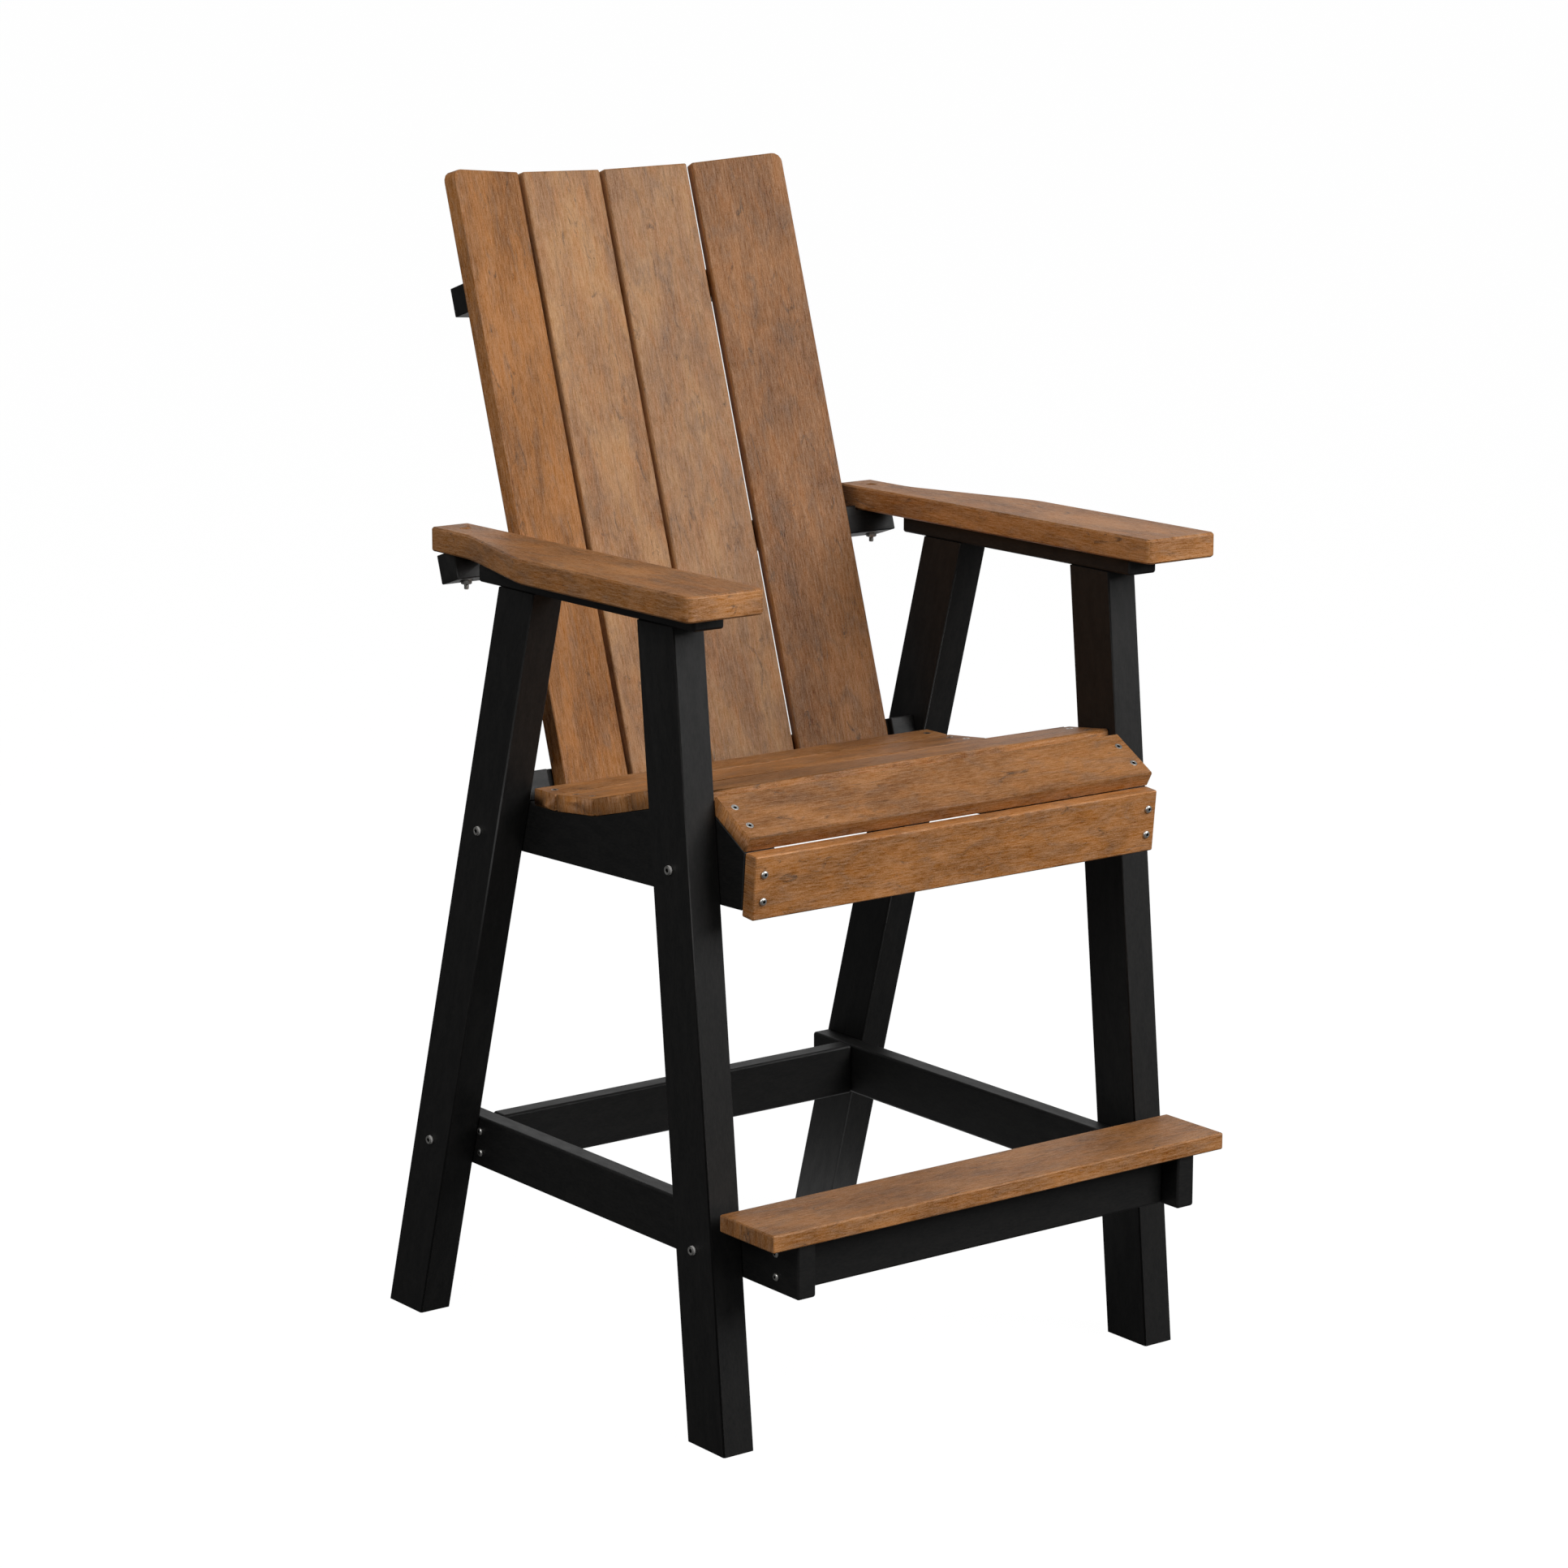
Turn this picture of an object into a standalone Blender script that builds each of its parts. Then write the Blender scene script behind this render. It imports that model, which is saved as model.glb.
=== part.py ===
"""Bar-height slatted armchair of poly lumber boards on a leaning four-leg frame, with a footrest.

X runs to the right as the chair is seen from the front, Y to the back and Z up; left and right in the
names are as seen from the front. The drawing's zero is on the floor, at the front edge of the front
feet; the model's origin is on the floor under the middle of the whole chair.
"""

import bpy
import bmesh
from math import cos, pi, radians, sin, tan
from mathutils import Matrix, Vector

# Fits
GAP = 0.0003            # between faces that rest on each other
CLEAR = 0.0003          # round a fastener in its hole

# Stock
BOARD_T = 0.020         # slats, apron and footrest
RAIL_T = 0.0254         # stretchers and cross bars, which stand on edge
SEAT_RAIL_T = 0.0413    # seat rails
ARM_T = 0.0287
ARM_RAIL_T = 0.0206
LEG_W = 0.0413          # across the chair
LEG_D = 0.0687          # square to the leg's own axis
EDGE = 0.0022           # broken edge of a bar, arm or arm rail
SLAT_EDGE = 0.0015      # of the slats, the apron, the footrest and the legs
SAWN_EDGE = 0.0010      # and of the seat and back rails, which are sawn to shape

# Legs
FRAME_W = 0.660         # over the legs' outer faces
FOOT_SPAN = 0.6202      # front edge of the front feet to front edge of the rear feet
FRONT_LEAN = radians(5.5)
REAR_LEAN = radians(16.0)
LEG_TOP = 0.9163

# Stretchers and footrest
STRETCHER_H = 0.0624
STRETCHER_Z = 0.1943
STRETCHER_NOSE = 0.0795     # in front of the front feet
STRETCHER_INSET = 0.0023    # end of the stretcher to the rear leg's back edge
REAR_BAR_ROOM = 0.0006      # rear stretcher's upper screw head to the rear leg's front edge
FOOT_BAR_BACK = 0.0260      # footrest rail behind the stretchers' front ends
FOOT_BAR_H = 0.0608
FOOTREST_W = 0.0985
FOOTREST_OVER = 0.0068      # footrest ahead of the stretchers' front ends
FOOTREST_INSET = 0.0034     # each end of the footrest inside the legs' outer sides

# Seat: slats run from the nose to the back, each falling towards the back by its own angle
SLAT_W = 0.0722
NOSE_SLAT_W = 0.0729
REAR_SLAT_W = 0.0414
SLAT_GAP = 0.0028
SLAT_END = 0.0005           # slat end to the leg's inner face
SEAT_NOSE_Y = 0.0799        # bend between the front slat and the flat of the seat, on the rail's top
SEAT_NOSE_Z = 0.7125
NOSE_FALL = radians(29.7)
SEAT_FALLS = (radians(6.7), radians(14.45), radians(14.45), radians(5.8), 0.0)
SEAT_MARGIN = 0.0020        # rail left behind the last slat
NOSE_OVER = 0.0006          # front slat ahead of the seat rails' front ends
RAIL_FRONT_H = 0.0657       # seat rail's front end
RAIL_DIP = radians(1.6)     # fall of the seat rail's underside towards the back
RAIL_TAIL = 0.0040          # seat rail's end to the rear leg's back edge
APRON_H = 0.0725
APRON_LEAN = radians(5.5)
APRON_RISE = 0.0004         # apron above the seat rail's front corner

# Back: four slats in a hollow arc on three bowed rails
BACK_TILT = radians(17.5)
BACK_SLAT_W = 0.1165
BACK_SLAT_L = 0.7486
BACK_SLAT_UNDER = 0.0065    # slats below the lower rail
BACK_TURN_INNER = radians(4.8)
BACK_TURN_OUTER = radians(17.6)
BACK_GAP_MID = 0.0064
BACK_GAP_SIDE = 0.0072
BACK_CORNER = 0.0120        # outer top corners
BACK_RAIL_D = 0.0390
BACK_RAIL_H = 0.0346
UPPER_RAIL_DROP = 0.1288    # slat tops to the upper rail
UPPER_RAIL_INSET = 0.0113   # its ends inside the slats' outer edges
LOWER_SETBACK = 0.0123      # lower rail behind the seat
LOWER_RISE = 0.0018         # and above the seat rail's last flat
LOWER_TAB = 0.0300          # lower rail's ends ahead of the back's face
LOWER_SIDE = 0.0100         # room beside the slats in the lower rail's recess

# Arms
ARM_W = 0.1025
ARM_TAIL_W = 0.0515
ARM_INSIDE = 0.0162         # arm inside the legs' inner faces
ARM_FRONT_OVER = 0.0520     # arm ahead of its rail
ARM_TAPER_Y = 0.3230        # front end to the start of the taper
ARM_TAPER_L = 0.1780
ARM_BEND = 0.1400           # rounding of the taper's two bends
ARM_CORNER = 0.0080
ARM_TAIL_CORNER = 0.0040
ARM_RAIL_FRONT_OVER = 0.0375
ARM_RAIL_ROOM = 0.0551      # arm rail's end to the mid rail's lower front edge
ARM_BOLT_AHEAD = 0.0113     # bolt ahead of the back's face at the arm's underside
ARM_BOLT_END = 0.0350       # bolt to the arm's rear end
MID_RAIL_UNDER = 0.0324     # mid rail's underside below the arm, at the bolt
MID_RAIL_INSET = 0.0025     # mid rail's end inside the arm's outer edge
NOTCH_SIDE = 0.0065         # notch in the mid rail, beside the arm

# Fasteners
BOLT_HEAD_R, BOLT_HEAD_H, BOLT_R = 0.0053, 0.0040, 0.0030
BOLT_SHORT = 0.0060         # bolt stops this far inside the rail it holds
SCREW_HEAD_R, SCREW_HEAD_H, SCREW_R = 0.0047, 0.0026, 0.0022
SUNK_HEAD_R, SUNK_HEAD_H, SUNK_R = 0.0045, 0.0028, 0.0020
SEAT_SCREW_INSET = 0.0130   # front slat's and apron's screws inside the legs' inner faces
NOSE_SCREW_IN = 0.0200      # screw in its rail, past the slat
NOSE_SCREW_SPREAD = 0.0308  # between the two screws of the front slat's end
APRON_SCREW_IN = 0.0220
APRON_SCREW_SPREAD = 0.0305
BAR_SCREW_IN = 0.0280
BAR_SCREW_SPREAD = 0.0266   # between the two screws of a cross bar's end
SEAT_BOLT_FRONT = 0.0389    # seat rail's underside to its front bolts, at the nose
SEAT_BOLT_REAR = 0.0246     # and to its rear bolts, at the back of the seat
ARM_HEAD_R, ARM_HEAD_H, ARM_BOLT_R = 0.0050, 0.0033, 0.0030
ARM_SINK_R, ARM_SINK = 0.0072, 0.0100   # counterbore in the arm
ARM_BOLT_OUT = 0.0060       # bolt past its nut
WASHER_R, WASHER_H = 0.0065, 0.0016
NUT_FLATS, NUT_H = 0.0112, 0.0050
SPOT_R, SPOT_H = 0.0085, 0.0030       # flat cut for the washer in the mid rail's sloping underside

SIDES = 12                  # of a turned fastener
PAST = 0.0200               # a cutter runs this far out of the piece

HANDS = ((-1, "left"), (1, "right"))
LEG_IN = FRAME_W / 2 - LEG_W
RAIL_X = LEG_IN - GAP - RAIL_T / 2          # middle of the stretchers
SEAT_RAIL_X = LEG_IN - GAP - SEAT_RAIL_T / 2
SEAT_SCREW_X = LEG_IN - SEAT_SCREW_INSET
ARM_RAIL_X = FRAME_W / 2 - LEG_W / 2
BAR_HALF = LEG_IN - GAP - RAIL_T - GAP      # half length between the stretchers
SEAT_HALF = LEG_IN - SLAT_END
ARM_Z = LEG_TOP + GAP + ARM_RAIL_T + GAP    # arm's underside
FRONT_DEPTH = LEG_D / cos(FRONT_LEAN)
REAR_DEPTH = LEG_D / cos(REAR_LEAN)


def front_leg(z):
    """Front edge of the front legs at height z."""
    return z * tan(FRONT_LEAN)


def rear_leg(z):
    """Front edge of the rear legs at height z."""
    return FOOT_SPAN - z * tan(REAR_LEAN)


def meet(p, d, q, e):
    """Where the line through p along d crosses the line through q along e."""
    s = ((q[0] - p[0]) * e[1] - (q[1] - p[1]) * e[0]) / (d[0] * e[1] - d[1] * e[0])
    return Vector((p[0] + s * d[0], p[1] + s * d[1]))


def rounded(corners, steps=4):
    """Outline of (point, radius) corners with an arc at each corner that has a radius."""
    out = []
    for i, (p, r) in enumerate(corners):
        p, a, b = Vector(p), Vector(corners[i - 1][0]), Vector(corners[(i + 1) % len(corners)][0])
        if not r:
            out.append(p)
            continue
        u, v = (a - p).normalized(), (b - p).normalized()
        half = u.angle(v) / 2
        start, end = p + u * (r / tan(half)), p + v * (r / tan(half))
        centre = p + (u + v).normalized() * (r / sin(half))
        for k in range(steps + 1):
            spoke = (start - centre).lerp(end - centre, k / steps).normalized()
            out.append(centre + spoke * r)
    return out


# Scene, collections and materials
for old in list(bpy.data.objects):
    bpy.data.objects.remove(old, do_unlink=True)
chair = bpy.data.collections.new("bar_chair")
cutters = bpy.data.collections.new("cutters")
for made in (chair, cutters):
    bpy.context.scene.collection.children.link(made)


def material(name, colour, roughness, metallic):
    made = bpy.data.materials.new(name)
    made.use_nodes = True
    shader = made.node_tree.nodes["Principled BSDF"]
    shader.inputs["Base Color"].default_value = (*colour, 1.0)
    shader.inputs["Roughness"].default_value = roughness
    shader.inputs["Metallic"].default_value = metallic
    return made


LOOKS = {
    "brown": ((0.262, 0.114, 0.045), 0.55, 0.0),
    "black": ((0.010, 0.010, 0.010), 0.50, 0.0),
    "steel": ((0.550, 0.550, 0.540), 0.32, 1.0),
}


def dress(piece, look):
    """Gives the piece a material of its own, in one of the chair's three finishes."""
    piece.data.materials.clear()
    piece.data.materials.append(material(piece.name, *LOOKS[look]))


def empty(name, parent, location, tilt=0.0):
    made = bpy.data.objects.new(name, None)
    chair.objects.link(made)
    made.parent = parent
    made.location = location
    made.rotation_euler = (tilt, 0.0, 0.0)
    return made


def place(piece, parent, location, rotation):
    piece.parent = parent
    piece.location = location
    piece.rotation_euler = rotation


def broken_edges(piece, edge):
    bevel = piece.modifiers.new("broken edges", "BEVEL")
    bevel.width = edge
    bevel.segments = 1
    bevel.limit_method = "ANGLE"


def board(name, look, size, parent, location, rotation=(0.0, 0.0, 0.0), edge=EDGE):
    """A straight board, of its size along its own axes."""
    mesh = bpy.data.meshes.new(name)
    bm = bmesh.new()
    bmesh.ops.create_cube(bm, size=1.0)
    bmesh.ops.scale(bm, vec=size, verts=bm.verts)
    bm.to_mesh(mesh)
    bm.free()
    piece = bpy.data.objects.new(name, mesh)
    chair.objects.link(piece)
    place(piece, parent, location, rotation)
    broken_edges(piece, edge)
    dress(piece, look)
    return piece


def plate(name, look, outline, thickness, parent, location, rotation=(0.0, 0.0, 0.0), edge=EDGE):
    """A board cut to an outline in its own XY plane, with its thickness along its own Z."""
    curve = bpy.data.curves.new(name + "_outline", "CURVE")
    curve.dimensions = "2D"
    curve.fill_mode = "BOTH"
    curve.extrude = thickness / 2
    spline = curve.splines.new("POLY")
    spline.points.add(len(outline) - 1)
    for point, (x, y) in zip(spline.points, outline):
        point.co = (x, y, 0.0, 1.0)
    spline.use_cyclic_u = True
    drawn = bpy.data.objects.new(name + "_outline", curve)
    chair.objects.link(drawn)
    depsgraph = bpy.context.evaluated_depsgraph_get()
    mesh = bpy.data.meshes.new_from_object(drawn.evaluated_get(depsgraph))
    bpy.data.objects.remove(drawn)
    bm = bmesh.new()
    bm.from_mesh(mesh)
    bmesh.ops.remove_doubles(bm, verts=bm.verts, dist=0.00001)
    bmesh.ops.dissolve_limit(bm, angle_limit=radians(0.5), verts=bm.verts, edges=bm.edges)
    bmesh.ops.recalc_face_normals(bm, faces=bm.faces)
    bm.to_mesh(mesh)
    bm.free()
    piece = bpy.data.objects.new(name, mesh)
    chair.objects.link(piece)
    place(piece, parent, location, rotation)
    broken_edges(piece, edge)
    dress(piece, look)
    return piece


SIDEWAYS = (pi / 2, 0.0, pi / 2)     # an outline of (Y, Z) points, with its thickness along X
UPRIGHT = (pi / 2, 0.0, 0.0)         # an outline of (X, Z) points, with its thickness along Y


# Seat line: bends of the seat rail's top edge, and each slat's place on it
def along(fall):
    return Vector((cos(fall), -sin(fall)))


def above(fall):
    return Vector((sin(fall), cos(fall)))


def seat_line():
    """Bends of the rail's top from the nose back, and each slat's (middle of the underside, fall, width)."""
    bend = Vector((SEAT_NOSE_Y, SEAT_NOSE_Z))
    bends, slats = [bend], []
    spare = SLAT_GAP / 2
    for i, fall in enumerate(SEAT_FALLS):
        last = i == len(SEAT_FALLS) - 1
        width = REAR_SLAT_W if last else SLAT_W
        hollow = 0.0 if last else max(0.0, fall - SEAT_FALLS[i + 1])
        after = SEAT_MARGIN if last else SLAT_GAP / 2 + BOARD_T * tan(hollow / 2)
        slats.append((bend + along(fall) * (spare + width / 2), fall, width))
        bend = bend + along(fall) * (spare + width + after)
        bends.append(bend)
        spare = after
    return bends, slats


BENDS, SLATS = seat_line()
SEAT_END = BENDS[-1]

# Back: its own axes have X across, Y away from the sitter and Z up along the slats. Its zero is on the
# inner slats' face, level with the lower rail's underside.
BACK_Y = SEAT_END[0] + LOWER_SETBACK + LOWER_TAB * cos(BACK_TILT)
BACK_Z = SEAT_END[1] + LOWER_RISE - LOWER_TAB * sin(BACK_TILT)
SLAT_TOP = BACK_SLAT_L - BACK_SLAT_UNDER


def from_back(x, y, z):
    """Drawing coordinates of a point given on the back's own axes."""
    return Vector((x, BACK_Y + y * cos(BACK_TILT) + z * sin(BACK_TILT),
                   BACK_Z - y * sin(BACK_TILT) + z * cos(BACK_TILT)))


def outward(turn):
    return Vector((cos(turn), -sin(turn)))


def behind(turn):
    return Vector((sin(turn), cos(turn)))


INNER_AT = Vector((BACK_GAP_MID / 2, BACK_SLAT_W / 2 * sin(BACK_TURN_INNER)))
OUTER_AT = INNER_AT + outward(BACK_TURN_INNER) * BACK_SLAT_W + Vector((BACK_GAP_SIDE, 0.0))

# Bowed rails: front and rear bends on the right half, against the slats' backs
FRONT_B = INNER_AT + outward(BACK_TURN_INNER) * BACK_SLAT_W + behind(BACK_TURN_INNER) * (BOARD_T + GAP)
FRONT_A = FRONT_B - outward(BACK_TURN_INNER) * (FRONT_B[0] / cos(BACK_TURN_INNER))
FRONT_C = OUTER_AT + behind(BACK_TURN_OUTER) * (BOARD_T + GAP)
FRONT_D = FRONT_C + outward(BACK_TURN_OUTER) * BACK_SLAT_W
REAR_A = FRONT_A + Vector((0.0, BACK_RAIL_D / cos(BACK_TURN_INNER)))
REAR_B = FRONT_B + behind(BACK_TURN_INNER) * BACK_RAIL_D
REAR_C = FRONT_C + behind(BACK_TURN_OUTER) * BACK_RAIL_D
REAR_D = FRONT_D + behind(BACK_TURN_OUTER) * BACK_RAIL_D


def both_halves(half):
    """Closed outline of a half that runs from the centre plane's front round to its rear."""
    mirrored = [Vector((-p[0], p[1])) for p in reversed(half) if abs(p[0]) > 1e-9]
    return list(half) + mirrored


# Middle of the whole chair, from the footrest's front to the inner slats' top
FRONT_Y = -STRETCHER_NOSE - FOOTREST_OVER
REAR_Y = from_back(0.0, INNER_AT[1] + BOARD_T * cos(BACK_TURN_INNER), SLAT_TOP - SLAT_EDGE)[1]
origin = empty("bar_chair_origin", None, (0.0, -(FRONT_Y + REAR_Y) / 2, 0.0))
back = empty("back_axes", origin, (0.0, BACK_Y, BACK_Z), -BACK_TILT)

# Legs
for side, hand in HANDS:
    x = side * (FRAME_W / 2 - LEG_W / 2)
    plate("leg_front_" + hand, "black",
          [(front_leg(0), 0), (front_leg(0) + FRONT_DEPTH, 0),
           (front_leg(LEG_TOP) + FRONT_DEPTH, LEG_TOP), (front_leg(LEG_TOP), LEG_TOP)],
          LEG_W, origin, (x, 0, 0), SIDEWAYS, SLAT_EDGE)
    plate("leg_rear_" + hand, "black",
          [(rear_leg(0), 0), (rear_leg(0) + REAR_DEPTH, 0),
           (rear_leg(LEG_TOP) + REAR_DEPTH, LEG_TOP), (rear_leg(LEG_TOP), LEG_TOP)],
          LEG_W, origin, (x, 0, 0), SIDEWAYS, SLAT_EDGE)

# Stretchers, rear bar and footrest
STRETCHER_MID = STRETCHER_Z + STRETCHER_H / 2
STRETCHER_TOP = STRETCHER_Z + STRETCHER_H
STRETCHER_END = rear_leg(STRETCHER_TOP) + REAR_DEPTH - STRETCHER_INSET
REAR_BAR_Y = rear_leg(STRETCHER_MID + BAR_SCREW_SPREAD / 2) - SCREW_HEAD_R - REAR_BAR_ROOM
FOOT_BAR_Y = -STRETCHER_NOSE + FOOT_BAR_BACK + RAIL_T / 2
for side, hand in HANDS:
    board("stretcher_" + hand, "black", (RAIL_T, STRETCHER_END + STRETCHER_NOSE, STRETCHER_H), origin,
          (side * RAIL_X, (STRETCHER_END - STRETCHER_NOSE) / 2, STRETCHER_MID))
board("stretcher_rear", "black", (2 * BAR_HALF, RAIL_T, STRETCHER_H), origin, (0, REAR_BAR_Y, STRETCHER_MID))
board("footrest_rail", "black", (2 * BAR_HALF, RAIL_T, FOOT_BAR_H), origin,
      (0, FOOT_BAR_Y, STRETCHER_TOP - FOOT_BAR_H / 2))
board("footrest_slat", "brown", (FRAME_W - 2 * FOOTREST_INSET, FOOTREST_W, BOARD_T), origin,
      (0, FRONT_Y + FOOTREST_W / 2, STRETCHER_TOP + GAP + BOARD_T / 2), edge=SLAT_EDGE)

# Seat slats
NAMES = ("seat_slat_front", "seat_slat_second", "seat_slat_third", "seat_slat_fourth", "seat_slat_rear")
for name, (foot, fall, width) in zip(NAMES, SLATS):
    middle = foot + above(fall) * (GAP + BOARD_T / 2)
    board(name, "brown", (2 * SEAT_HALF, width, BOARD_T), origin, (0, *middle), (-fall, 0, 0), SLAT_EDGE)
NOSE_FOOT = BENDS[0] - along(-NOSE_FALL) * (SLAT_GAP / 2 + NOSE_SLAT_W / 2)
NOSE_MIDDLE = NOSE_FOOT + above(-NOSE_FALL) * (GAP + BOARD_T / 2)
board("seat_slat_nose", "brown", (2 * SEAT_HALF, NOSE_SLAT_W, BOARD_T), origin, (0, *NOSE_MIDDLE),
      (NOSE_FALL, 0, 0), SLAT_EDGE)

# Seat rails: a dished top under the slats, a sloping seat for the lower back rail, a leaning front end
RAIL_CORNER = BENDS[0] - along(-NOSE_FALL) * (SLAT_GAP / 2 + NOSE_SLAT_W - NOSE_OVER)
DOWN_FRONT = Vector((sin(APRON_LEAN), -cos(APRON_LEAN)))
RAIL_TOE = RAIL_CORNER + DOWN_FRONT * RAIL_FRONT_H
REAR_EDGE = Vector((rear_leg(0) + REAR_DEPTH - RAIL_TAIL, 0.0))
REAR_WAY = Vector((-sin(REAR_LEAN), cos(REAR_LEAN)))
LOWER_SEAT = from_back(0.0, -LOWER_TAB - LOWER_SIDE / 2, -GAP).yz
RAIL_HEEL = meet(RAIL_TOE, along(RAIL_DIP), REAR_EDGE, REAR_WAY)
RAIL_BACK = meet(LOWER_SEAT, along(BACK_TILT), REAR_EDGE, REAR_WAY)


def rail_under(y):
    """Height of the seat rails' underside."""
    return RAIL_TOE[1] - (y - RAIL_TOE[0]) * tan(RAIL_DIP)


RAIL_OUTLINE = [RAIL_TOE, RAIL_CORNER, *BENDS, LOWER_SEAT, RAIL_BACK, RAIL_HEEL]
for side, hand in HANDS:
    plate("seat_rail_" + hand, "black", RAIL_OUTLINE, SEAT_RAIL_T, origin, (side * SEAT_RAIL_X, 0, 0),
          SIDEWAYS, SAWN_EDGE)

# Apron against the seat rails' front ends
APRON_OUT = Vector((-cos(APRON_LEAN), -sin(APRON_LEAN)))
APRON_MIDDLE = RAIL_CORNER + DOWN_FRONT * (APRON_H / 2 - APRON_RISE) + APRON_OUT * (GAP + BOARD_T / 2)
board("apron", "brown", (2 * SEAT_HALF, BOARD_T, APRON_H), origin, (0, *APRON_MIDDLE), (APRON_LEAN, 0, 0),
      SLAT_EDGE)

# Back slats
for side, hand in HANDS:
    for at, turn, corner, where in ((INNER_AT, BACK_TURN_INNER, 0.0, "inner"),
                                    (OUTER_AT, BACK_TURN_OUTER, BACK_CORNER, "outer")):
        half = BACK_SLAT_W / 2
        outline = rounded([((-half, -BACK_SLAT_UNDER), 0), ((half, -BACK_SLAT_UNDER), 0),
                           ((half, SLAT_TOP), corner if side > 0 else 0),
                           ((-half, SLAT_TOP), corner if side < 0 else 0)])
        middle = at + outward(turn) * half + behind(turn) * BOARD_T / 2
        slat = plate("back_slat_" + where + "_" + hand, "brown", outline, BOARD_T, back,
                     (side * middle[0], middle[1], 0), edge=SLAT_EDGE)
        slat.rotation_euler = (pi / 2, 0, -side * turn)

# Arms on their rails
ARM_IN = LEG_IN - ARM_INSIDE
ARM_RAIL_Y0 = front_leg(LEG_TOP) - ARM_RAIL_FRONT_OVER
ARM_Y0 = ARM_RAIL_Y0 - ARM_FRONT_OVER
ARM_BOLT_X = ARM_IN + ARM_TAIL_W / 2
ARM_BOLT_Y = BACK_Y + (ARM_Z - BACK_Z) * tan(BACK_TILT) - ARM_BOLT_AHEAD
ARM_Y1 = ARM_BOLT_Y + ARM_BOLT_END
MID_UNDER = (ARM_BOLT_Y - BACK_Y) * sin(BACK_TILT) + (ARM_Z - MID_RAIL_UNDER - BACK_Z) * cos(BACK_TILT)
ARM_RAIL_Y1 = from_back(0.0, FRONT_D[1], MID_UNDER)[1] - ARM_RAIL_ROOM
for side, hand in HANDS:
    board("arm_rail_" + hand, "black", (LEG_W, ARM_RAIL_Y1 - ARM_RAIL_Y0, ARM_RAIL_T), origin,
          (side * ARM_RAIL_X, (ARM_RAIL_Y0 + ARM_RAIL_Y1) / 2, LEG_TOP + GAP + ARM_RAIL_T / 2))
    corners = [((ARM_IN, ARM_Y0), ARM_CORNER), ((ARM_IN + ARM_W, ARM_Y0), ARM_CORNER),
               ((ARM_IN + ARM_W, ARM_Y0 + ARM_TAPER_Y), ARM_BEND),
               ((ARM_IN + ARM_TAIL_W, ARM_Y0 + ARM_TAPER_Y + ARM_TAPER_L), ARM_BEND),
               ((ARM_IN + ARM_TAIL_W, ARM_Y1), ARM_TAIL_CORNER), ((ARM_IN, ARM_Y1), ARM_TAIL_CORNER)]
    outline = [(side * x, y) for x, y in rounded(corners)]
    plate("arm_" + hand, "brown", outline, ARM_T, origin, (0, 0, ARM_Z + ARM_T / 2))

# Back rails
UPPER_X = FRONT_D[0] - UPPER_RAIL_INSET
UPPER_Z = SLAT_TOP - UPPER_RAIL_DROP - BACK_RAIL_H / 2
front_end = FRONT_C + outward(BACK_TURN_OUTER) * ((UPPER_X - FRONT_C[0]) / cos(BACK_TURN_OUTER))
rear_end = REAR_C + outward(BACK_TURN_OUTER) * ((UPPER_X - REAR_C[0]) / cos(BACK_TURN_OUTER))
plate("back_rail_upper", "black",
      both_halves([FRONT_A, FRONT_B, FRONT_C, front_end, rear_end, REAR_C, REAR_B, REAR_A]),
      BACK_RAIL_H, back, (0, 0, UPPER_Z), edge=SAWN_EDGE)

MID_X = ARM_IN + ARM_TAIL_W - MID_RAIL_INSET
MID_Z = MID_UNDER + BACK_RAIL_H / 2
plate("back_rail_mid", "black",
      both_halves([FRONT_A, FRONT_B, FRONT_C, FRONT_D,
                   Vector((MID_X, FRONT_D[1])), Vector((MID_X, REAR_D[1])),
                   REAR_D, REAR_C, REAR_B, REAR_A]),
      BACK_RAIL_H, back, (0, 0, MID_Z), edge=SAWN_EDGE)

LOWER_Z = BACK_RAIL_H / 2
LOWER_X = FRONT_D[0] + LOWER_SIDE
LOWER_END = LEG_IN - GAP
plate("back_rail_lower", "black",
      both_halves([FRONT_A, FRONT_B, FRONT_C, FRONT_D,
                   Vector((LOWER_X, FRONT_D[1])), Vector((LOWER_X, -LOWER_TAB)),
                   Vector((LOWER_END, -LOWER_TAB)), Vector((LOWER_END, REAR_D[1])),
                   REAR_D, REAR_C, REAR_B, REAR_A]),
      BACK_RAIL_H, back, (0, 0, LOWER_Z), edge=SAWN_EDGE)


# Fasteners: a half profile of (radius, way along the drive) is turned into the solid, and a wider one
# into its hole in every piece that it passes through
holes = {}


def turned(name, profile, sides):
    """Mesh of a half profile turned about Z."""
    mesh = bpy.data.meshes.new(name)
    bm = bmesh.new()
    row = [bm.verts.new((r, 0.0, z)) for r, z in profile]
    for a, b in zip(row, row[1:]):
        bm.edges.new((a, b))
    bmesh.ops.spin(bm, geom=bm.verts[:] + bm.edges[:], cent=(0, 0, 0), axis=(0, 0, 1),
                   angle=2 * pi, steps=sides)
    bmesh.ops.remove_doubles(bm, verts=bm.verts, dist=0.000005)
    bmesh.ops.recalc_face_normals(bm, faces=bm.faces)
    bm.to_mesh(mesh)
    bm.free()
    return mesh


def facing(at, way):
    """Matrix that puts a turned shape's zero at the point and its Z along the way."""
    turn = Vector((0, 0, 1)).rotation_difference(Vector(way))
    return Matrix.Translation(at) @ turn.to_matrix().to_4x4()


def pin(name, profile, sides, at, way):
    """One fastener, turned from its profile."""
    mesh = turned(name, profile, sides)
    mesh.shade_smooth()
    mesh.set_sharp_from_angle(angle=radians(40))
    piece = bpy.data.objects.new(name, mesh)
    chair.objects.link(piece)
    piece.parent = origin
    piece.matrix_local = facing(at, way)
    dress(piece, "steel")


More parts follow.
